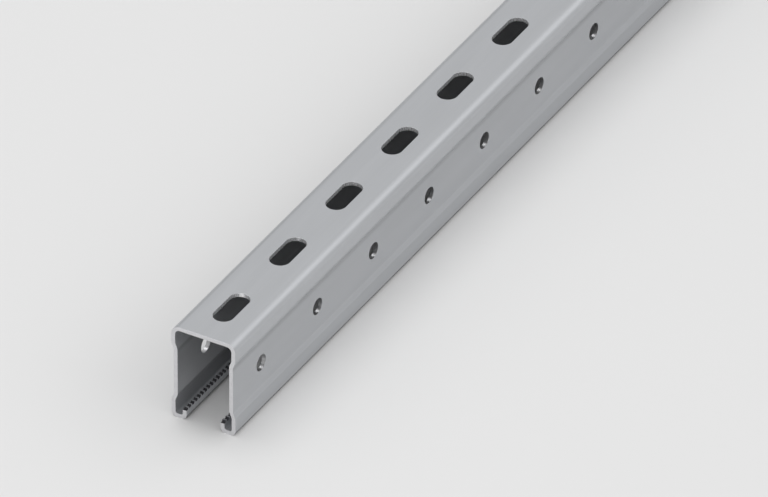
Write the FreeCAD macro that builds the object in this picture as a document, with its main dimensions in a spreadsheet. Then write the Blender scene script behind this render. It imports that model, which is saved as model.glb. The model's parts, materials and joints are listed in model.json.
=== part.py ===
import FreeCAD, Part
import os
import Sketcher
from FreeCAD import Vector

os.makedirs("parts", exist_ok=True)
doc = FreeCAD.newDocument("StrutChannel")

# Driving sizes in millimetres. Heights count from the floor: the channel lies mouth down on its lips.
SIZES = {
    "width": 41.3,
    "height": 61.9,
    "stock_length": 1000,
    "gauge": 2.5,
    "web_bend": 3.0,
    "lip_bend": 1.5,
    "flange": 9.65,
    "lip_height": 7.5,
    "recess": 1.5,
    "rim": 12.0,
    "slope": 3.7,
    "hole_pitch": 62.5,
    "slot_width": 12.5,
    "slot_length": 29.5,
    "side_hole": 10.2,
    "tooth_pitch": 3.5,
    "notch_width": 2.3,
    "notch_depth": 1.2,
    "first_notch": 0.7,
}

sizes = doc.addObject("Spreadsheet::Sheet", "Sizes")
for row, (name, value) in enumerate(SIZES.items(), start=1):
    sizes.set(f"A{row}", name)
    sizes.set(f"B{row}", str(value))
    sizes.setAlias(f"B{row}", name)
doc.recompute()

# Lines of the section, as expressions of the sheet.
WALL = "Sizes.width / 2"
WALL_IN = "Sizes.width / 2 - Sizes.gauge"
PANEL = "Sizes.width / 2 - Sizes.recess"
PANEL_IN = "Sizes.width / 2 - Sizes.recess - Sizes.gauge"
LIP = "Sizes.width / 2 - Sizes.flange"
LIP_IN = "Sizes.width / 2 - Sizes.flange + Sizes.gauge"
TOP = "Sizes.height"
TOP_IN = "Sizes.height - Sizes.gauge"
RIM = "Sizes.rim"
RIM_END = "Sizes.rim + Sizes.slope"
# Where the sheet bends into the recess, its inner line turns a little sooner than its outer line.
TURN = "Sizes.gauge * tan(atan(Sizes.recess / Sizes.slope) / 2)"
# The first slot and side hole lie half a pitch from the near end, and as many follow as fit whole.
FIRST_HOLE = "Sizes.hole_pitch / 2"
SLOT_STRAIGHT = "Sizes.slot_length - Sizes.slot_width"
HOLE_COUNT = "floor((Sizes.stock_length - (Sizes.hole_pitch + Sizes.slot_length) / 2) / Sizes.hole_pitch) + 1"
TOOTH_COUNT = "floor((Sizes.stock_length - Sizes.first_notch) / Sizes.tooth_pitch) + 1"


def amount(expression):
    """Return what an expression gives with the present sizes."""
    return float(sizes.evalExpression(expression))


def origin_plane(body, role):
    """Return the body's own origin plane with this role."""
    return next(item for item in body.Origin.OriginFeatures if item.Role == role)


def new_sketch(body, name, role):
    """Add a sketch to the body, on one of its origin planes."""
    sketch = body.newObject("Sketcher::SketchObject", name)
    sketch.AttachmentSupport = [(origin_plane(body, role), "")]
    sketch.MapMode = "FlatFace"
    return sketch


def bind(sketch, kind, place, expression):
    """Dimension a place of a sketch with an expression."""
    index = sketch.addConstraint(Sketcher.Constraint(kind, *place, amount(expression)))
    sketch.setExpression(f"Constraints[{index}]", expression)


def round_corner(sketch, before, after, radius):
    """Join two lines of a sketch, the first's end to the second's start, with a tangent arc."""
    corner_in = sketch.getPoint(before, 2)
    corner_out = sketch.getPoint(after, 1)
    along = (corner_in - sketch.getPoint(before, 1)).normalize()
    corner = corner_in + along * amount(radius)
    centre = corner_in + corner_out - corner
    middle = centre + (corner - centre).normalize() * amount(radius)
    arc = sketch.addGeometry(Part.Arc(corner_in, middle, corner_out), False)
    first, second = (1, 2) if sketch.getPoint(arc, 1).isEqual(corner_in, 1e-6) else (2, 1)
    sketch.addConstraint(Sketcher.Constraint("Tangent", before, 2, arc, first))
    sketch.addConstraint(Sketcher.Constraint("Tangent", arc, second, after, 1))
    bind(sketch, "Radius", (arc,), radius)


def draw_outline(sketch, corners):
    """Draw a closed outline of upright, level and sloping lines.

    Each corner is its place across, its place up and its bend radius, as expressions; a corner
    without a radius stays sharp.
    """
    count = len(corners)
    points = [Vector(amount(across), amount(up), 0) for across, up, radius in corners]
    cut_back = [amount(radius) if radius else 0 for across, up, radius in corners]
    lines = []
    for index, (across, up, radius) in enumerate(corners):
        ahead = (index + 1) % count
        along = (points[ahead] - points[index]).normalize()
        start = points[index] + along * cut_back[index]
        end = points[ahead] - along * cut_back[ahead]
        lines.append(sketch.addGeometry(Part.LineSegment(start, end), False))
        if across == corners[ahead][0]:
            sketch.addConstraint(Sketcher.Constraint("Vertical", lines[-1]))
        if up == corners[ahead][1]:
            sketch.addConstraint(Sketcher.Constraint("Horizontal", lines[-1]))
    for index, (across, up, radius) in enumerate(corners):
        before, after = lines[index - 1], lines[index]
        if radius:
            round_corner(sketch, before, after, radius)
        else:
            sketch.addConstraint(Sketcher.Constraint("Coincident", before, 2, after, 1))
    placed = set()
    for index, (across, up, radius) in enumerate(corners):
        ahead = corners[(index + 1) % count]
        upright, level = across == ahead[0], up == ahead[1]
        if upright and amount(across):
            bind(sketch, "DistanceX", (-1, 1, lines[index], 1), across)
        elif upright:
            sketch.addConstraint(Sketcher.Constraint("PointOnObject", lines[index], 1, -2))
        elif level and amount(up):
            bind(sketch, "DistanceY", (-1, 1, lines[index], 1), up)
        elif level:
            sketch.addConstraint(Sketcher.Constraint("PointOnObject", lines[index], 1, -1))
        else:
            bind(sketch, "DistanceY", (-1, 1, lines[index], 1), up)
            bind(sketch, "DistanceY", (-1, 1, lines[index], 2), ahead[1])


def roll_half_section(body):
    """Pad the right half of the rolled section along the whole length."""
    sketch = new_sketch(body, "Section", "XZ_Plane")
    upper_rim, upper_end = f"{TOP} - {RIM}", f"{TOP} - ({RIM_END})"
    web_out = "Sizes.web_bend + Sizes.gauge"
    lip_out = "Sizes.lip_bend + Sizes.gauge"
    draw_outline(sketch, [
        ("0", TOP, None),
        (WALL, TOP, web_out),
        (WALL, upper_rim, None),
        (PANEL, upper_end, None),
        (PANEL, RIM_END, None),
        (WALL, RIM, None),
        (WALL, "0", lip_out),
        (LIP, "0", lip_out),
        (LIP, "Sizes.lip_height", None),
        (LIP_IN, "Sizes.lip_height", None),
        (LIP_IN, "Sizes.gauge", "Sizes.lip_bend"),
        (WALL_IN, "Sizes.gauge", "Sizes.lip_bend"),
        (WALL_IN, f"{RIM} - {TURN}", None),
        (PANEL_IN, f"{RIM_END} - {TURN}", None),
        (PANEL_IN, f"{upper_end} + {TURN}", None),
        (WALL_IN, f"{upper_rim} + {TURN}", None),
        (WALL_IN, TOP_IN, "Sizes.web_bend"),
        ("0", TOP_IN, None),
    ])
    pad = body.newObject("PartDesign::Pad", "RolledHalf")
    pad.Profile = sketch
    pad.Reversed = True
    pad.setExpression("Length", "Sizes.stock_length")
    return pad


def mirror_half(body, half):
    """Mirror the rolled half across the middle of the web."""
    mirrored = body.newObject("PartDesign::Mirrored", "WholeSection")
    mirrored.Originals = [half]
    mirrored.MirrorPlane = (origin_plane(body, "YZ_Plane"), [""])
    mirrored.Refine = True
    body.Tip = mirrored


def repeat_along(body, name, cut, pitch, count):
    """Repeat a cut along the channel."""
    pattern = body.newObject("PartDesign::LinearPattern", name)
    pattern.Originals = [cut]
    pattern.Direction = (origin_plane(body, "XZ_Plane"), [""])
    pattern.Reversed = True
    pattern.Mode = "Spacing"
    pattern.setExpression("Offset", pitch)
    pattern.setExpression("Occurrences", count)
    body.Tip = pattern


def punch_web_slots(body):
    """Punch the row of long slots through the web."""
    sketch = new_sketch(body, "SlotShape", "XY_Plane")
    radius, straight = amount("Sizes.slot_width / 2"), amount(SLOT_STRAIGHT)
    middle = amount(FIRST_HOLE)
    near, far = middle - straight / 2, middle + straight / 2
    right = sketch.addGeometry(Part.LineSegment(Vector(radius, near, 0), Vector(radius, far, 0)), False)
    left = sketch.addGeometry(Part.LineSegment(Vector(-radius, far, 0), Vector(-radius, near, 0)), False)
    far_end = sketch.addGeometry(
        Part.Arc(Vector(radius, far, 0), Vector(0, far + radius, 0), Vector(-radius, far, 0)), False)
    near_end = sketch.addGeometry(
        Part.Arc(Vector(-radius, near, 0), Vector(0, near - radius, 0), Vector(radius, near, 0)), False)
    sketch.addConstraint([
        Sketcher.Constraint("Tangent", right, 2, far_end, 1),
        Sketcher.Constraint("Tangent", far_end, 2, left, 1),
        Sketcher.Constraint("Tangent", left, 2, near_end, 1),
        Sketcher.Constraint("Tangent", near_end, 2, right, 1),
        Sketcher.Constraint("Vertical", right),
        Sketcher.Constraint("PointOnObject", far_end, 3, -2),
    ])
    bind(sketch, "Radius", (far_end,), "Sizes.slot_width / 2")
    bind(sketch, "DistanceY", (near_end, 3, far_end, 3), SLOT_STRAIGHT)
    bind(sketch, "DistanceY", (-1, 1, near_end, 3), f"{FIRST_HOLE} - ({SLOT_STRAIGHT}) / 2")
    slot = body.newObject("PartDesign::Pocket", "Slot")
    slot.Profile = sketch
    slot.Type = "ThroughAll"
    slot.Reversed = True
    repeat_along(body, "SlotRow", slot, "Sizes.hole_pitch", HOLE_COUNT)


def punch_side_holes(body):
    """Punch the row of round holes through both side walls, in line with the slots."""
    sketch = new_sketch(body, "SideHoleShape", "YZ_Plane")
    place = Vector(amount(FIRST_HOLE), amount("Sizes.height / 2"), 0)
    circle = sketch.addGeometry(Part.Circle(place, Vector(0, 0, 1), amount("Sizes.side_hole / 2")), False)
    bind(sketch, "Diameter", (circle,), "Sizes.side_hole")
    bind(sketch, "DistanceX", (-1, 1, circle, 3), FIRST_HOLE)
    bind(sketch, "DistanceY", (-1, 1, circle, 3), "Sizes.height / 2")
    hole = body.newObject("PartDesign::Pocket", "SideHole")
    hole.Profile = sketch
    hole.Type = "ThroughAll"
    hole.Midplane = True
    repeat_along(body, "SideHoleRow", hole, "Sizes.hole_pitch", HOLE_COUNT)


def cut_lip_teeth(body):
    """Cut the row of notches that leaves teeth along the top edge of both lips."""
    sketch = new_sketch(body, "NotchShape", "YZ_Plane")
    middle, bottom = amount("Sizes.first_notch"), amount("Sizes.lip_height - Sizes.notch_depth")
    wide, high = amount("Sizes.notch_width"), amount("Sizes.lip_height + Sizes.notch_depth")
    corners = [Vector(middle, bottom, 0), Vector(middle + wide, high, 0), Vector(middle - wide, high, 0)]
    sides = [sketch.addGeometry(Part.LineSegment(corners[i], corners[(i + 1) % 3]), False) for i in range(3)]
    for index in range(3):
        sketch.addConstraint(Sketcher.Constraint("Coincident", sides[index], 2, sides[(index + 1) % 3], 1))
    sketch.addConstraint(Sketcher.Constraint("Horizontal", sides[1]))
    sketch.addConstraint(Sketcher.Constraint("Equal", sides[0], sides[2]))
    bind(sketch, "DistanceX", (sides[1], 2, sides[1], 1), "2 * Sizes.notch_width")
    bind(sketch, "DistanceY", (sides[0], 1, sides[0], 2), "2 * Sizes.notch_depth")
    bind(sketch, "DistanceX", (-1, 1, sides[0], 1), "Sizes.first_notch")
    bind(sketch, "DistanceY", (-1, 1, sides[0], 1), "Sizes.lip_height - Sizes.notch_depth")
    notch = body.newObject("PartDesign::Pocket", "Notch")
    notch.Profile = sketch
    notch.Midplane = True
    # The cut ends halfway between the lip and the wall.
    notch.setExpression("Length", f"{LIP} + {WALL}")
    repeat_along(body, "ToothRow", notch, "Sizes.tooth_pitch", TOOTH_COUNT)


def build_channel():
    """Build the channel as one rolled and punched body."""
    body = doc.addObject("PartDesign::Body", "StrutChannel")
    body.Label = "strut_channel"
    # The sketches count from the near end; the body is placed with its middle over the origin.
    body.setExpression("Placement.Base.y", "-Sizes.stock_length / 2")
    half = roll_half_section(body)
    doc.recompute()
    mirror_half(body, half)
    doc.recompute()
    punch_web_slots(body)
    doc.recompute()
    punch_side_holes(body)
    doc.recompute()
    cut_lip_teeth(body)
    doc.recompute()
    return body


def check_document():
    """Stop if anything in the document failed to build."""
    for item in doc.Objects:
        if "Invalid" in item.State or "Error" in item.State:
            raise RuntimeError(f"{item.Label} did not build")


channel = build_channel()
check_document()
if not channel.Shape.isValid() or len(channel.Shape.Solids) != 1:
    raise RuntimeError(f"{channel.Label} is not one valid solid")
channel.Shape.exportStep(f"parts/{channel.Label}.step")
print(channel.Label, channel.Shape.BoundBox, f"{channel.Shape.Volume:.0f} mm3")
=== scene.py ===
import json
import logging
import math
from collections.abc import Callable, Iterator
from contextlib import contextmanager
from dataclasses import dataclass, field
from enum import Enum

import bmesh
import bpy
from bmesh.types import BMEdge, BMFace, BMVert
from bpy.types import Camera, Light, Material, NodeSocket, Object
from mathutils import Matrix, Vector


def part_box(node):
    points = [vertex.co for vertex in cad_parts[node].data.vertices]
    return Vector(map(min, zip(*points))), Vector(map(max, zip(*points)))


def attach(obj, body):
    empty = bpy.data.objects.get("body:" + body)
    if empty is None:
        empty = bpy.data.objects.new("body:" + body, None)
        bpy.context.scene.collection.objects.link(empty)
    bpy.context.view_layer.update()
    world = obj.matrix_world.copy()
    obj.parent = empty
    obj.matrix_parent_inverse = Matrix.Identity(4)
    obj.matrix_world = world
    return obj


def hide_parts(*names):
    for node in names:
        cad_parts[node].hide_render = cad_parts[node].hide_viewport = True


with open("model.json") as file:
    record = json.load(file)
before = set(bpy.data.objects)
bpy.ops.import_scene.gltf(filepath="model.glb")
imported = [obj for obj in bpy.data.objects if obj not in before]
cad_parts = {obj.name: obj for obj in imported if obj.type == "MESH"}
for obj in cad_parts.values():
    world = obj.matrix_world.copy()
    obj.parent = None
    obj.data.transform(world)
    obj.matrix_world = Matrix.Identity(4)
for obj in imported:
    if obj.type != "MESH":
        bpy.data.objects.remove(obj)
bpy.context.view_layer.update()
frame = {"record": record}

# A strut channel of bent, punched and galvanised sheet lies mouth down on a pale floor. It runs
# along Y with its near end at the low side, X goes across it to the right, and Z goes up.

NODE = "strut_channel"
log = logging.getLogger("strut_channel")

MM = 0.001
# Places nearer to each other than this, in metres, are the same place.
NEAR = 0.01 * MM
# A unit normal with more than this of an axis in it faces along the axis.
FACING = 0.9

# Across, along and up, or red, green and blue.
Triple = tuple[float, float, float]


class Finish(Enum):
    """The finishes of the channel's surfaces, each by its place in the list of materials."""

    ZINC = 0
    SLOTTED = 1
    PIERCED = 2
    # The notches' near-black colour is painted shade.
    PRESSED = 3
    SAWN = 4


class Element(Enum):
    """The sorts of mesh elements, by the name of each one's list in an edited mesh."""

    VERT = "verts"
    EDGE = "edges"
    FACE = "faces"


class Joining(Enum):
    """The ways to join two values of a material, by Blender's name for each."""

    ADD = "ADD"
    MULTIPLY = "MULTIPLY"


class Pace(Enum):
    """The ways to lead a value from one level to another, by Blender's name for each."""

    EVEN = "LINEAR"
    SMOOTH = "SMOOTHSTEP"


def stated_mount(name: str) -> dict:
    """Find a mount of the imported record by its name."""
    return next(mount for mount in frame["record"]["mounts"] if mount["name"] == name)


@dataclass(frozen=True)
class ChannelSizes:
    """The channel's real sizes in metres, as the CAD model has them but for the last four."""

    width: float
    height: float
    length: float
    pitch: float
    slot_width: float
    slot_length: float
    side_hole: float
    gauge: float = 2.5 * MM
    web_bend: float = 3.0 * MM
    lip_bend: float = 1.5 * MM
    flange: float = 9.65 * MM
    lip_height: float = 7.5 * MM
    recess: float = 1.5 * MM
    rim: float = 12.0 * MM
    slope: float = 3.7 * MM
    tooth_pitch: float = 3.5 * MM
    notch_width: float = 2.3 * MM
    notch_depth: float = 1.2 * MM
    first_notch: float = 0.7 * MM
    # Only here: the lips' outer radius, how much of the section a slope's corner takes up, the
    # notches' flat foot, and the broken edges.
    lip_corner: float = 3.2 * MM
    slope_rounding: float = 1.7 * MM
    notch_foot: float = 2.0 * MM
    edge_break: float = 0.18 * MM

    @classmethod
    def from_frame(cls) -> "ChannelSizes":
        """Read the outer size from the CAD node and the holes from the record's mounts.

        Returns:
            The sizes.
        """
        low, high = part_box(NODE)
        slots = stated_mount("web_slots_01_02")["dims"]
        holes = stated_mount("right_holes_01_02")["dims"]
        return cls(
            width=high.x - low.x,
            height=high.z - low.z,
            length=high.y - low.y,
            pitch=slots["spacing_y_mm"] * MM,
            slot_width=2 * slots["hole_r_mm"] * MM,
            slot_length=slots["slot_length_mm"] * MM,
            side_hole=2 * holes["hole_r_mm"] * MM,
        )

    @property
    def turn(self) -> float:
        """How far the inner line's corners at a slope lie along the wall from the outer line's."""
        return self.gauge * math.tan(math.atan(self.recess / self.slope) / 2)

    @property
    def near_end(self) -> float:
        """The near end's place along the channel."""
        return -self.length / 2

    @property
    def hole_places(self) -> list[float]:
        """The places of the slots and side holes along the channel."""
        count = int((self.length - (self.pitch + self.slot_length) / 2) / self.pitch) + 1
        return [self.near_end + self.pitch * (index + 0.5) for index in range(count)]

    @property
    def notch_places(self) -> list[float]:
        """The places of the notches between the teeth along the channel."""
        count = int((self.length - self.first_notch) / self.tooth_pitch) + 1
        return [self.near_end + self.first_notch + self.tooth_pitch * index
                for index in range(count)]


@dataclass(frozen=True)
class Bend:
    """A corner of the section: its place, how far from it the rounding starts, and its steps."""

    across: float
    up: float
    reach: float
    steps: int


class Bench:
    """A modelling bench that holds one mesh object and shapes it with Blender's own tools."""

    def __init__(self, name: str) -> None:
        """Deselect everything and keep the name of the piece to make.

        Args:
            name: The piece's name.
        """
        bpy.ops.object.select_all(action="DESELECT")
        self.name = name
        self.piece: Object | None = None

    def take(self, scale: Triple = (1, 1, 1)) -> None:
        """Take the primitive that was just added as the piece, and put its place into its mesh.

        Args:
            scale: How many times larger the piece is than the primitive.
        """
        self.piece = bpy.context.object
        self.piece.name = self.name
        self.piece.data.name = self.name
        self.piece.scale = scale
        self.hold()
        bpy.ops.object.transform_apply(location=True, rotation=True, scale=True)

    def hold(self) -> None:
        """Make the piece the active object and the only selected one."""
        bpy.ops.object.select_all(action="DESELECT")
        self.piece.select_set(True)
        bpy.context.view_layer.objects.active = self.piece

    @contextmanager
    def editing(self) -> Iterator[None]:
        """Keep the piece in edit mode inside a with block."""
        bpy.ops.object.mode_set(mode="EDIT")
        yield
        bpy.ops.object.mode_set(mode="OBJECT")

    def pick(self, element: Element, wanted: Callable[[BMVert | BMEdge | BMFace], bool]) -> None:
        """Select the elements of one sort that pass a test, in edit mode.

        Args:
            element: The sort of element.
            wanted: Says whether an element is to be selected.
        """
        bpy.ops.mesh.select_all(action="DESELECT")
        bpy.ops.mesh.select_mode(type=element.name)
        mesh = bmesh.from_edit_mesh(self.piece.data)
        for item in getattr(mesh, element.value):
            item.select_set(wanted(item))
        mesh.select_flush_mode()
        bmesh.update_edit_mesh(self.piece.data)

    def pick_corner(self, across: float, up: float) -> None:
        """Select the edges along the channel at one corner of the section, left and right.

        Args:
            across: The corner's distance from the middle.
            up: The corner's height.
        """
        def lies_there(vert: BMVert) -> bool:
            """Say whether a vertex lies at the corner."""
            return abs(abs(vert.co.x) - across) < NEAR and abs(vert.co.z - up) < NEAR

        self.pick(Element.EDGE, lambda edge: all(lies_there(vert) for vert in edge.verts))

    def apply(self, kind: str, **settings: object) -> None:
        """Add a modifier to the piece, set it and apply it.

        Args:
            kind: Blender's name for the modifier.
            settings: The modifier's settings by name.
        """
        modifier = self.piece.modifiers.new(kind.title(), kind)
        for key, value in settings.items():
            setattr(modifier, key, value)
        bpy.context.view_layer.objects.active = self.piece
        bpy.ops.object.modifier_apply(modifier=modifier.name)


@dataclass
class StrutChannel:
    """The rolled and punched channel: one strip of sheet, bent, cut to length and toothed."""

    sizes: ChannelSizes
    arc_steps: int = 10
    slope_steps: int = 5
    hole_steps: int = 56
    break_steps: int = 2
    overshoot: float = 4 * MM
    sharp_angle: float = math.radians(50)
    smooth_angle: float = math.radians(35)
    normal_weight: int = 50
    materials: dict[Finish, Material] = field(default_factory=dict)
    cutters: list[Object] = field(default_factory=list)

    def dress(self, piece: Object) -> None:
        """Give a piece the list of the channel's materials, in the order of their places.

        Args:
            piece: The piece.
        """
        piece.data.materials.clear()
        for finish in Finish:
            piece.data.materials.append(self.materials[finish])

    def flats(self) -> list[tuple[float, float]]:
        """List the flats of the section's outer line, from the web's edge to the lip's top.

        Returns:
            How far each flat goes across and up.
        """
        s = self.sizes
        panel = s.height - 2 * (s.rim + s.slope)
        return [
            (0, -s.rim),
            (-s.recess, -s.slope),
            (0, -panel),
            (s.recess, -s.slope),
            (0, -s.rim),
            (-s.flange, 0),
            (0, s.lip_height),
        ]

    def roll_strip(self) -> Bench:
        """Roll half of the sheet: the web, then each further flat drawn out of its last edge.

        Returns:
            The bench with the outer skin of the right half.
        """
        s = self.sizes
        bench = Bench(NODE + "_body")
        bpy.ops.mesh.primitive_plane_add(size=1, location=(s.width / 4, 0, s.height))
        bench.take(scale=(s.width / 2, s.length, 1))
        across, up = s.width / 2, s.height
        with bench.editing():
            for step_across, step_up in self.flats():
                bench.pick_corner(across, up)
                bpy.ops.mesh.extrude_edges_move(
                    TRANSFORM_OT_translate={"value": (step_across, 0, step_up)})
                across, up = across + step_across, up + step_up
            bpy.ops.mesh.select_all(action="SELECT")
            bpy.ops.mesh.normals_make_consistent(inside=False)
        return bench

    def thicken(self, bench: Bench) -> None:
        """Mirror the half strip, give the sheet its gauge inwards, and make each end one face.

        Args:
            bench: The bench with the strip.
        """
        bench.apply("MIRROR", use_axis=(True, False, False), use_clip=True, merge_threshold=NEAR)
        bench.apply("SOLIDIFY", thickness=self.sizes.gauge, offset=-1.0, use_even_offset=True)
        with bench.editing():
            bench.pick(Element.FACE, lambda face: abs(face.normal.y) > FACING)
            bpy.ops.mesh.dissolve_faces()

    def bends(self) -> list[Bend]:
        """List the corners of the outer line and then of the inner line, on the right side.

        Returns:
            The corners. At a square one the rounding's reach is its radius.
        """
        s = self.sizes
        wall, panel, lip = s.width / 2, s.width / 2 - s.recess, s.width / 2 - s.flange
        upper, lower = s.height - s.rim, s.rim
        slight = s.slope_rounding / 2
        return [
            Bend(wall, s.height, s.web_bend + s.gauge, self.arc_steps),
            Bend(wall, 0, s.lip_corner, self.arc_steps),
            Bend(lip, 0, s.lip_corner, self.arc_steps),
            Bend(wall, upper, slight, self.slope_steps),
            Bend(panel, upper - s.slope, slight, self.slope_steps),
            Bend(panel, lower + s.slope, slight, self.slope_steps),
            Bend(wall, lower, slight, self.slope_steps),
            Bend(wall - s.gauge, s.height - s.gauge, s.web_bend, self.arc_steps),
            Bend(wall - s.gauge, s.gauge, s.lip_bend, self.arc_steps),
            Bend(lip + s.gauge, s.gauge, s.lip_bend, self.arc_steps),
            Bend(wall - s.gauge, upper + s.turn, slight, self.slope_steps),
            Bend(panel - s.gauge, upper - s.slope + s.turn, slight, self.slope_steps),
            Bend(panel - s.gauge, lower + s.slope - s.turn, slight, self.slope_steps),
            Bend(wall - s.gauge, lower - s.turn, slight, self.slope_steps),
        ]

    def round_bends(self, bench: Bench) -> None:
        """Round each corner of the section, left and right.

        Args:
            bench: The bench with the sheet.
        """
        with bench.editing():
            for bend in self.bends():
                bench.pick_corner(bend.across, bend.up)
                bpy.ops.mesh.bevel(offset=bend.reach, offset_type="OFFSET", segments=bend.steps,
                                   profile=0.5, affect="EDGES", clamp_overlap=False)

    def slot_cutter(self) -> Object:
        """Make one long punch for the web: a round one with its far half moved along the channel.

        Returns:
            The punch.
        """
        s = self.sizes
        straight = s.slot_length - s.slot_width
        middle = -straight / 2
        bench = Bench("slot_punch")
        bpy.ops.mesh.primitive_cylinder_add(
            vertices=self.hole_steps, radius=s.slot_width / 2,
            depth=s.gauge + 2 * self.overshoot, location=(0, middle, s.height - s.gauge / 2))
        bench.take()
        with bench.editing():
            bench.pick(Element.VERT, lambda vert: vert.co.y > middle + NEAR)
            bpy.ops.transform.translate(value=(0, straight, 0))
        return bench.piece

    def side_hole_cutter(self) -> Object:
        """Make one round punch through both side walls.

        Returns:
            The punch.
        """
        s = self.sizes
        bench = Bench("side_punch")
        bpy.ops.mesh.primitive_cylinder_add(
            vertices=self.hole_steps, radius=s.side_hole / 2,
            depth=s.width + 2 * self.overshoot, location=(0, 0, s.height / 2),
            rotation=(0, math.pi / 2, 0))
        bench.take()
        return bench.piece

    def notch_cutter(self) -> Object:
        """Make one tapered tool across the mouth that cuts through both lips, not the walls.

        It stands as far above the lips' tops as it cuts into them, where it has its middle width.

        Returns:
            The tool.
        """
        s = self.sizes
        upper_width = s.notch_width + (s.notch_width - s.notch_foot)
        bench = Bench("notch_tool")
        bpy.ops.mesh.primitive_cube_add(size=1, location=(0, 0, s.lip_height))
        bench.take(scale=(s.width - s.flange, upper_width, 2 * s.notch_depth))
        with bench.editing():
            bench.pick(Element.FACE, lambda face: face.normal.z < -FACING)
            bpy.ops.transform.resize(value=(1, s.notch_foot / upper_width, 1))
        return bench.piece

    def repeat(self, cutter: Object, places: list[float], finish: Finish) -> None:
        """Copy a cutter to each place along the channel, each copy with its own mesh.

        Args:
            cutter: The cutter, which is used up.
            places: The places along the channel.
            finish: The finish that the cut leaves, which for the notches is painted shade.
        """
        self.dress(cutter)
        faces = cutter.data.polygons
        faces.foreach_set("material_index", [finish.value] * len(faces))
        for place in places:
            copy = cutter.copy()
            copy.data = cutter.data.copy()
            copy.location.y = place
            bpy.context.scene.collection.objects.link(copy)
            self.cutters.append(copy)
        bpy.data.objects.remove(cutter)

    def punch(self, bench: Bench) -> None:
        """Join all cutters and take them out of the sheet in one cut.

        Args:
            bench: The bench with the sheet.
        """
        bpy.ops.object.select_all(action="DESELECT")
        for cutter in self.cutters:
            cutter.select_set(True)
        bpy.context.view_layer.objects.active = self.cutters[0]
        bpy.ops.object.join()
        tool = bpy.context.object
        bpy.ops.object.transform_apply(location=True, rotation=True, scale=True)
        bench.apply("BOOLEAN", operation="DIFFERENCE", solver="EXACT",
                    material_mode="TRANSFER", object=tool)
        bpy.data.objects.remove(tool)
        self.cutters.clear()

    def dress_ends(self, bench: Bench) -> None:
        """Give the two cut ends the sawn finish.

        Args:
            bench: The bench with the punched channel.
        """
        end = self.sizes.length / 2
        for face in bench.piece.data.polygons:
            if abs(abs(face.center.y) - end) < NEAR:
                face.material_index = Finish.SAWN.value

    def smooth(self, bench: Bench) -> None:
        """Break the sharp edges a little, and shade flats flat and bends smooth.

        Args:
            bench: The bench with the punched channel.
        """
        bench.apply("BEVEL", width=self.sizes.edge_break, segments=self.break_steps,
                    limit_method="ANGLE", angle_limit=self.sharp_angle, use_clamp_overlap=False)
        bench.hold()
        bpy.ops.object.shade_smooth_by_angle(angle=self.smooth_angle)
        bench.apply("WEIGHTED_NORMAL", keep_sharp=True, weight=self.normal_weight)

    def build(self) -> Object:
        """Build the channel in the order of its making.

        Returns:
            The finished channel.
        """
        s = self.sizes
        bench = self.roll_strip()
        self.thicken(bench)
        self.round_bends(bench)
        self.dress(bench.piece)
        self.repeat(self.slot_cutter(), s.hole_places, Finish.SLOTTED)
        self.repeat(self.side_hole_cutter(), s.hole_places, Finish.PIERCED)
        self.repeat(self.notch_cutter(), s.notch_places, Finish.PRESSED)
        self.punch(bench)
        self.dress_ends(bench)
        self.smooth(bench)
        return bench.piece


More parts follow.
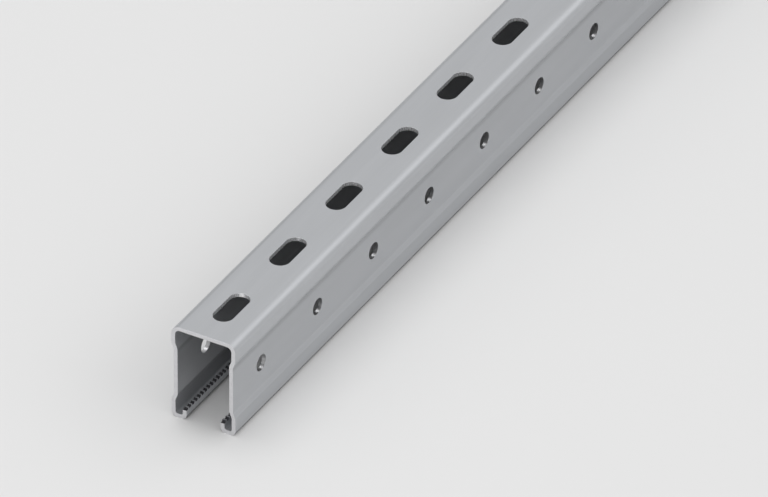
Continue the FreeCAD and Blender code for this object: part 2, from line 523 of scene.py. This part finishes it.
class NodeBoard:
    """A material's node tree with the shader at hand, and short ways to add the nodes it needs."""

    # Most of a noise lies between these values.
    NOISE_MIDDLE = (0.3, 0.7)

    def __init__(self, name: str) -> None:
        """Make the material with its plain shader.

        Args:
            name: The material's name.
        """
        self.material = bpy.data.materials.new(name)
        self.material.use_nodes = True
        self.nodes = self.material.node_tree.nodes
        self.links = self.material.node_tree.links
        self.shader = self.nodes["Principled BSDF"]
        self.coordinates = self.nodes.new("ShaderNodeTexCoord")

    def grain(self, stretch: Triple, detail: float) -> NodeSocket:
        """Add noise that is stretched in the part's frame.

        Args:
            stretch: The grains per metre across, along and up.
            detail: How many finer octaves the noise has.

        Returns:
            The noise's strength, about 0.5 on average.
        """
        mapping = self.nodes.new("ShaderNodeMapping")
        mapping.inputs["Scale"].default_value = stretch
        noise = self.nodes.new("ShaderNodeTexNoise")
        noise.inputs["Scale"].default_value = 1.0
        noise.inputs["Detail"].default_value = detail
        self.links.new(self.coordinates.outputs["Object"], mapping.inputs["Vector"])
        self.links.new(mapping.outputs["Vector"], noise.inputs["Vector"])
        return noise.outputs["Fac"]

    def ease(self, source: NodeSocket, span: tuple[float, float], result: tuple[float, float],
             pace: Pace = Pace.SMOOTH) -> NodeSocket:
        """Lead a value from one level to another while a source crosses a span.

        Args:
            source: The value that sets the pace.
            span: The source's values where the change begins and ends.
            result: The levels before and after the change.
            pace: How the change goes.

        Returns:
            The value.
        """
        node = self.nodes.new("ShaderNodeMapRange")
        node.interpolation_type = pace.value
        node.inputs["From Min"].default_value, node.inputs["From Max"].default_value = span
        node.inputs["To Min"].default_value, node.inputs["To Max"].default_value = result
        self.links.new(source, node.inputs["Value"])
        return node.outputs["Result"]

    def spread(self, noise: NodeSocket, result: tuple[float, float]) -> NodeSocket:
        """Map the middle of a noise's range evenly to a low and a high value."""
        return self.ease(noise, self.NOISE_MIDDLE, result, Pace.EVEN)

    def combine(self, first: NodeSocket, second: NodeSocket, how: Joining) -> NodeSocket:
        """Join two values.

        Args:
            first: The first value.
            second: The second value.
            how: Whether they are added or multiplied.

        Returns:
            The sum or the product.
        """
        node = self.nodes.new("ShaderNodeMath")
        node.operation = how.value
        self.links.new(first, node.inputs[0])
        self.links.new(second, node.inputs[1])
        return node.outputs["Value"]

    def tint(self, amount: NodeSocket, colour: Triple) -> NodeSocket:
        """Multiply a colour by a varying amount.

        Args:
            amount: The amount.
            colour: The colour.

        Returns:
            The varying colour.
        """
        node = self.nodes.new("ShaderNodeVectorMath")
        node.operation = "SCALE"
        node.inputs[0].default_value = colour
        self.links.new(amount, node.inputs["Scale"])
        return node.outputs["Vector"]

    def upward_part(self, output: str) -> NodeSocket:
        """Read the upward part of the Object or the Normal coordinates.

        Args:
            output: The name of the coordinates.

        Returns:
            The height, or how much the surface faces up.
        """
        node = self.nodes.new("ShaderNodeSeparateXYZ")
        self.links.new(self.coordinates.outputs[output], node.inputs["Vector"])
        return node.outputs["Z"]

    def emboss(self, height: NodeSocket, depth: float) -> None:
        """Raise the surface by a height map.

        Args:
            height: The map, from 0 to 1.
            depth: How high the surface rises in metres where the map is 1.
        """
        node = self.nodes.new("ShaderNodeBump")
        node.inputs["Strength"].default_value = 1.0
        node.inputs["Distance"].default_value = depth
        self.links.new(height, node.inputs["Height"])
        self.links.new(node.outputs["Normal"], self.shader.inputs["Normal"])

    def set(self, name: str, source: NodeSocket) -> None:
        """Link a value to one of the shader's sockets."""
        self.links.new(source, self.shader.inputs[name])


@dataclass(frozen=True)
class MetalFinish:
    """A steel surface with a fine and a coarse grain, each stretched in the part's frame."""

    name: str
    colour: Triple
    metallic: float
    roughness: tuple[float, float]
    grain: Triple
    coarse: Triple
    colour_change: float
    relief: float
    grain_detail: float = 3.0
    coarse_detail: float = 2.0

    def make(self) -> Material:
        """Make the material.

        Returns:
            The material.
        """
        board = NodeBoard(self.name)
        fine = board.grain(self.grain, self.grain_detail)
        coarse = board.grain(self.coarse, self.coarse_detail)
        shades = (1 - self.colour_change, 1 + self.colour_change)
        shade = board.combine(board.spread(fine, shades), board.spread(coarse, shades),
                              Joining.MULTIPLY)
        rough = board.spread(fine, self.roughness)
        board.shader.inputs["Metallic"].default_value = self.metallic
        shade, rough = self.dull_and_paint_shade(board, shade, rough)
        board.set("Base Color", board.tint(shade, self.colour))
        board.set("Roughness", rough)
        board.emboss(fine, self.relief)
        return board.material

    def dull_and_paint_shade(self, board: NodeBoard, shade: NodeSocket,
             rough: NodeSocket) -> tuple[NodeSocket, NodeSocket]:
        """Leave the shade and the roughness as they are."""
        return shade, rough


@dataclass(frozen=True)
class PaintedShadeBand:
    """A band along the whole channel where shade is painted into the zinc's colour.

    It starts at one height, has its shade at the next and ends at the last.
    """

    start: float
    middle: float
    end: float
    shade: float


@dataclass(frozen=True)
class ZincWithPaintedShade(MetalFinish):
    """Zinc with painted shade on the panel, the slopes and round the tight bends at the foot.

    The foot is the sheet below foot_height that faces down by foot_tilt. Each of the two is led
    over a span, and the foot's values hold where both have ended.
    """

    # Painted shade in the zinc's colour: darker over the panel towards the upper slope, darkest in
    # the crease under it, and a little darker along the lower slope.
    painted_shade_bands: tuple[PaintedShadeBand, ...] = (
        PaintedShadeBand(start=16.0 * MM, middle=45.0 * MM, end=49.5 * MM, shade=0.91),
        PaintedShadeBand(start=42.5 * MM, middle=45.7 * MM, end=47.9 * MM, shade=0.81),
        PaintedShadeBand(start=11.0 * MM, middle=13.8 * MM, end=16.5 * MM, shade=0.93),
    )
    # Painted shade at the foot: the bends that face down near the floor are darkened to a fifth of
    # their colour, and are also rougher, less metallic and without specular.
    foot_height: tuple[float, float] = (4 * MM, 6 * MM)
    foot_tilt: tuple[float, float] = (-0.02, -0.4)
    painted_foot_shade: float = 0.2
    foot_metallic: float = 0.1
    foot_roughness: float = 0.4
    foot_specular: float = 0.0
    specular: float = 0.5

    def dull_and_paint_shade(self, board: NodeBoard, shade: NodeSocket,
             rough: NodeSocket) -> tuple[NodeSocket, NodeSocket]:
        """Paint shade into the bands and the foot, and make the foot rougher and less metallic.

        Args:
            board: The material's nodes.
            shade: The shade of the even zinc.
            rough: The roughness of the even zinc.

        Returns:
            The shade with the bands' and the foot's painted shade, and the roughness with the
            foot's.
        """
        height = board.upward_part("Object")
        # Paint each band's shade into the colour.
        for band in self.painted_shade_bands:
            fall = board.ease(height, (band.start, band.middle), (1.0, band.shade))
            rise = board.ease(height, (band.middle, band.end), (0.0, 1 - band.shade))
            shade = board.combine(shade, board.combine(fall, rise, Joining.ADD), Joining.MULTIPLY)
        low = board.ease(height, self.foot_height, (1.0, 0.0))
        down = board.ease(board.upward_part("Normal"), self.foot_tilt, (0.0, 1.0))
        foot = board.combine(low, down, Joining.MULTIPLY)
        levels = {
            "Metallic": (self.metallic, self.foot_metallic),
            "Specular IOR Level": (self.specular, self.foot_specular),
        }
        for name, level in levels.items():
            board.set(name, board.ease(foot, (0.0, 1.0), level))
        # The foot's painted shade, and its added roughness.
        painted_foot_darkening = board.ease(foot, (0.0, 1.0), (1.0, self.painted_foot_shade))
        rougher = board.ease(foot, (0.0, 1.0), (0.0, self.foot_roughness))
        return (board.combine(shade, painted_foot_darkening, Joining.MULTIPLY),
                board.combine(rough, rougher, Joining.ADD))


def make_finishes() -> dict[Finish, Material]:
    """Make the material of each finish.

    Returns:
        The materials by finish.
    """
    finishes = {
        Finish.ZINC: ZincWithPaintedShade(
            "galvanised_steel", colour=(0.454, 0.465, 0.483), metallic=0.62,
            roughness=(0.31, 0.39), grain=(1400, 6, 1400), coarse=(120, 18, 120),
            colour_change=0.02, relief=0.0015 * MM),
        # The slot edges are partly painted light: the punched steel here is much paler than at the
        # side holes.
        Finish.SLOTTED: MetalFinish(
            "slot_edge", colour=(0.87, 0.875, 0.885), metallic=0.72,
            roughness=(0.25, 0.31), grain=(900, 900, 300), coarse=(200, 200, 600),
            colour_change=0.03, relief=0.0004 * MM),
        # The side holes' edges are partly painted shade: the same punched steel is much darker here
        # than at the slots, which also dims their glints.
        Finish.PIERCED: MetalFinish(
            "side_hole_edge", colour=(0.41, 0.413, 0.42), metallic=0.9,
            roughness=(0.31, 0.37), grain=(300, 900, 900), coarse=(600, 200, 200),
            colour_change=0.06, relief=0.001 * MM),
        # Painted shade: the notches' faces are near black, for the shade in them.
        Finish.PRESSED: MetalFinish(
            "pressed_notch", colour=(0.045, 0.045, 0.05), metallic=0.5,
            roughness=(0.5, 0.7), grain=(700, 1500, 1500), coarse=(150, 150, 150),
            colour_change=0.2, relief=0.01 * MM),
        Finish.SAWN: MetalFinish(
            "sawn_end", colour=(0.68, 0.68, 0.695), metallic=0.8,
            roughness=(0.42, 0.6), grain=(300, 50, 4000), coarse=(80, 50, 500),
            colour_change=0.03, relief=0.008 * MM),
    }
    return {finish: look.make() for finish, look in finishes.items()}


def stand(data: Camera | Light, place: Vector, back: Vector) -> Object:
    """Put a camera or a lamp into the scene.

    Args:
        data: The camera or the lamp, whose name the object gets.
        place: Where it stands.
        back: The direction behind it.

    Returns:
        The object.
    """
    thing = bpy.data.objects.new(data.name, data)
    bpy.context.scene.collection.objects.link(thing)
    thing.location = place
    thing.rotation_mode = "QUATERNION"
    thing.rotation_quaternion = (-back).to_track_quat("-Z", "Y")
    return thing


@dataclass(frozen=True)
class PhotoCamera:
    """The photograph's camera: a long lens, from the right and above, on the near end.

    Angles are in degrees, the sensor in millimetres. The aim counts from the near end's foot, to
    the right and up in the picture.
    """

    azimuth: float = 30.08
    elevation: float = 35.25
    distance: float = 12.9
    focal_pixels: float = 23110.0
    image_width: int = 768
    aim_right: float = 100.71 * MM
    aim_up: float = 99.03 * MM
    sensor: float = 36.0
    clip: tuple[float, float] = (1.0, 60.0)

    def place(self, near_end: float) -> None:
        """Make the camera and aim it.

        Args:
            near_end: The near end's place along the channel.
        """
        turn, lift = math.radians(self.azimuth), math.radians(self.elevation)
        right = Vector((math.cos(turn), math.sin(turn), 0))
        back = Vector((math.sin(turn) * math.cos(lift),
                       -math.cos(turn) * math.cos(lift),
                       math.sin(lift)))
        up = back.cross(right)
        aim = Vector((0, near_end, 0)) + right * self.aim_right + up * self.aim_up
        data = bpy.data.cameras.new("photo_camera")
        data.sensor_width = self.sensor
        data.lens = self.focal_pixels / self.image_width * self.sensor
        data.clip_start, data.clip_end = self.clip
        bpy.context.scene.camera = stand(data, aim + back * self.distance, back)


@dataclass(frozen=True)
class SoftLamp:
    """A large round lamp that faces the channel's middle."""

    name: str
    place: Triple
    size: float
    power: float

    def hang(self) -> None:
        """Hang the lamp."""
        data = bpy.data.lights.new(self.name, "AREA")
        data.shape = "DISK"
        data.size = self.size
        data.energy = self.power
        stand(data, Vector(self.place), Vector(self.place))


@dataclass(frozen=True)
class Studio:
    """The pale floor, the room's light, which is dimmer at the horizon and overhead, and the lamps.

    Each of room_levels is the height of a direction, from 0 to 1, and how bright the room is there.
    """

    floor_size: float = 60.0
    floor_colour: tuple[float, float, float, float] = (0.706, 0.706, 0.706, 1.0)
    floor_roughness: float = 0.9
    floor_specular: float = 0.0
    room_levels: tuple[tuple[float, float], ...] = (
        (0.0, 0.50),
        (0.3, 0.66),
        (0.58, 1.06),
        (1.0, 0.46),
    )
    brighter_side: Triple = (0.28, -0.06, 0.0)
    lamps: tuple[SoftLamp, ...] = (
        SoftLamp("back_lamp", place=(1.5, 3.0, 2.2), size=3.2, power=9.5),
        SoftLamp("right_lamp", place=(2.9, 0.3, 2.1), size=2.6, power=10.0),
        SoftLamp("overhead_lamp", place=(-1.1, 0.0, 3.2), size=1.9, power=26.0),
        SoftLamp("front_lamp", place=(0.4, -2.8, 1.7), size=2.2, power=19.0),
    )

    def build(self) -> None:
        """Build the floor, the world and the lamps."""
        bpy.context.scene.view_settings.view_transform = "Standard"
        self.lay_floor()
        self.light_room()
        for lamp in self.lamps:
            lamp.hang()

    def lay_floor(self) -> None:
        """Lay the floor under the channel."""
        bpy.ops.object.select_all(action="DESELECT")
        bpy.ops.mesh.primitive_plane_add(size=self.floor_size, location=(0, 0, 0))
        floor = bpy.context.object
        floor.name = "floor"
        material = bpy.data.materials.new("floor")
        material.use_nodes = True
        shader = material.node_tree.nodes["Principled BSDF"]
        shader.inputs["Base Color"].default_value = self.floor_colour
        shader.inputs["Roughness"].default_value = self.floor_roughness
        shader.inputs["Specular IOR Level"].default_value = self.floor_specular
        floor.data.materials.append(material)

    def light_room(self) -> None:
        """Light the room from all round, by a direction's height and its turn to the brighter side.

        The ramp holds shares of the brightest level, and the strength brings that level back.
        """
        world = bpy.data.worlds.new("room")
        bpy.context.scene.world = world
        world.use_nodes = True
        nodes, links = world.node_tree.nodes, world.node_tree.links
        coordinates = nodes.new("ShaderNodeTexCoord")
        height = nodes.new("ShaderNodeSeparateXYZ")
        ramp = nodes.new("ShaderNodeValToRGB")
        brightest = max(level for _, level in self.room_levels)
        stops = ramp.color_ramp.elements
        stops.remove(stops[1])
        for index, (place, level) in enumerate(self.room_levels):
            stop = stops.new(place) if index else stops[0]
            stop.position = place
            share = level / brightest
            stop.color = (share, share, share, 1.0)
        side = nodes.new("ShaderNodeVectorMath")
        side.operation = "DOT_PRODUCT"
        side.inputs[1].default_value = self.brighter_side
        strength = nodes.new("ShaderNodeMath")
        strength.operation = "MULTIPLY_ADD"
        strength.inputs[1].default_value = brightest
        strength.inputs[2].default_value = brightest
        links.new(coordinates.outputs["Generated"], height.inputs["Vector"])
        links.new(coordinates.outputs["Generated"], side.inputs[0])
        links.new(height.outputs["Z"], ramp.inputs["Fac"])
        links.new(side.outputs["Value"], strength.inputs[0])
        links.new(ramp.outputs["Color"], nodes["Background"].inputs["Color"])
        links.new(strength.outputs["Value"], nodes["Background"].inputs["Strength"])


def main() -> None:
    """Build the channel, its finish, the studio and the camera."""
    logging.basicConfig(level=logging.INFO)
    sizes = ChannelSizes.from_frame()
    channel = StrutChannel(sizes, materials=make_finishes()).build()
    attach(channel, "root")
    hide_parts(NODE)
    log.info("%s: %d faces", channel.name, len(channel.data.polygons))
    Studio().build()
    PhotoCamera().place(sizes.near_end)


if __name__ == "__main__":
    main()
